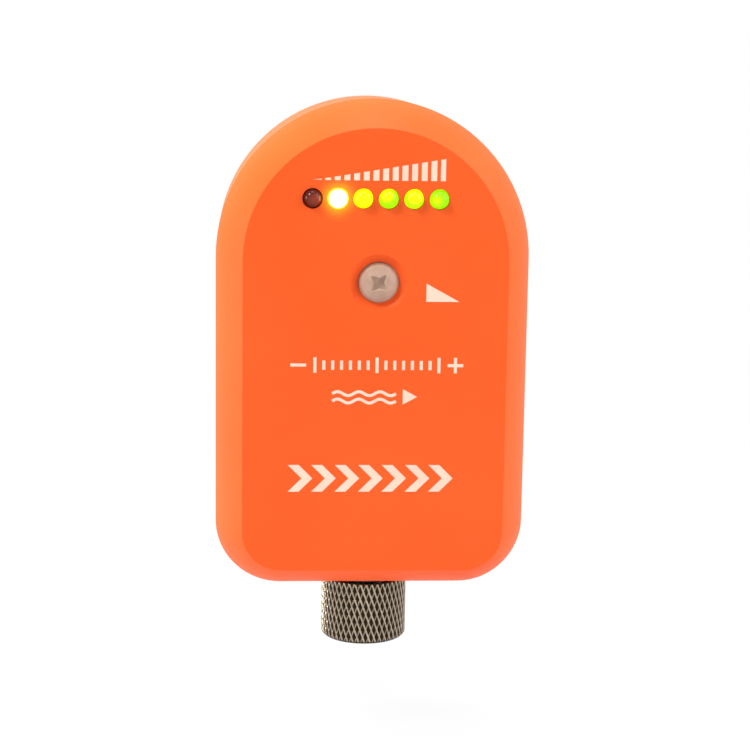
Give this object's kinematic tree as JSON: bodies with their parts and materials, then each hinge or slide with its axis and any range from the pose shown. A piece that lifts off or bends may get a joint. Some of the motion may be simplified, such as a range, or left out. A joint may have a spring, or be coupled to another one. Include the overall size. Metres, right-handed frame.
{
  "type": "thermal flow switch",
  "caption": "Compact flow switch with an arched plastic head, a lamp row, a screw-covered set point, a capped M12 connector and a threaded probe.",
  "frame": {"origin": "centre of the process fitting's sealing face, on the probe's axis", "axes": "+Y along the probe, into the pipe; -Y is the display side; +Z is the arched top; the connector points along -Z"},
  "size_m": [0.051, 0.0781, 0.0928],
  "materials": {
    "orange_plastic": "satin moulded plastic, fine texture",
    "black_rubber": "matt black rubber",
    "zinc_steel": "bright zinc",
    "board_laminate": "green solder mask",
    "black_plastic": "matt black",
    "red_lens": "clear tinted epoxy, unlit",
    "yellow_lens": "clear tinted epoxy, lit",
    "green_lens": "clear tinted epoxy, lit",
    "aluminium_can": "drawn can",
    "blue_plastic": "moulded",
    "white_plastic": "moulded",
    "nylon": "natural nylon, slightly translucent",
    "nickel_plated_brass": "nickel plate, knurled on the cap",
    "gold_plated_brass": "gold plate",
    "wire_insulation": "smooth insulation",
    "stainless_steel": "turned",
    "white_ceramic": "sintered"
  },
  "bodies": {
    "head": {"front_cover": "orange_plastic", "rear_housing": "orange_plastic", "cover_gasket": "black_rubber", "housing_screws": "zinc_steel", "circuit_board": "board_laminate", "board_screws": "zinc_steel", "led_spacer": "black_plastic", "led_red": "red_lens", "led_yellow": "yellow_lens", "led_green_1": "green_lens", "led_green_2": "green_lens", "led_green_3": "green_lens", "led_green_4": "green_lens", "processor_chip": "black_plastic", "output_transistor": "black_plastic", "buffer_capacitor": "aluminium_can", "trimmer_body": "blue_plastic", "connector_shell": "nickel_plated_brass", "connector_insert": "black_plastic", "contact_pin_1": "gold_plated_brass", "contact_pin_2": "gold_plated_brass", "contact_pin_3": "gold_plated_brass", "contact_pin_4": "gold_plated_brass", "connector_leads": "wire_insulation", "connector_o_ring": "black_rubber", "process_fitting": "stainless_steel", "fitting_nut": "stainless_steel", "fitting_o_ring": "black_rubber", "probe_sleeve": "stainless_steel", "sensor_strip": "white_ceramic", "heated_sensor": "black_plastic", "reference_sensor": "black_plastic", "sensor_leads": "wire_insulation"},
    "trimmer_rotor": {"trimmer_rotor": "white_plastic"},
    "screw_seal": {"screw_seal": "black_rubber"},
    "sealing_screw": {"sealing_screw": "nylon"},
    "cap_seal": {"cap_seal": "black_rubber"},
    "protective_cap": {"protective_cap": "nickel_plated_brass"}
  },
  "joints": [
    {"name": "rotor_turn", "type": "hinge", "parent": "head", "child": "trimmer_rotor", "pos_m": [0.0004, -0.0378, -0.0032], "axis": [0, -1, 0], "range_deg": [-130, 130]},
    {"name": "screw_travel", "type": "slide", "parent": "head", "child": "screw_seal", "axis": [0, -1, 0], "range_m": [0, 0.003]},
    {"name": "screw_turn", "type": "hinge", "parent": "screw_seal", "child": "sealing_screw", "pos_m": [0.0004, -0.046, -0.0032], "axis": [0, -1, 0], "range_deg": [0, 2160]},
    {"name": "cap_travel", "type": "slide", "parent": "head", "child": "cap_seal", "axis": [0, 0, -1], "range_m": [0, 0.006]},
    {"name": "cap_turn", "type": "hinge", "parent": "cap_seal", "child": "protective_cap", "pos_m": [0, -0.0245, -0.065], "axis": [0, 0, -1], "range_deg": [0, 2160]}
  ],
  "couplings": [
    {"joint": "screw_turn", "follows": "screw_travel", "rad_per_m": 12566},
    {"joint": "cap_turn", "follows": "cap_travel", "rad_per_m": 6283.2}
  ]
}
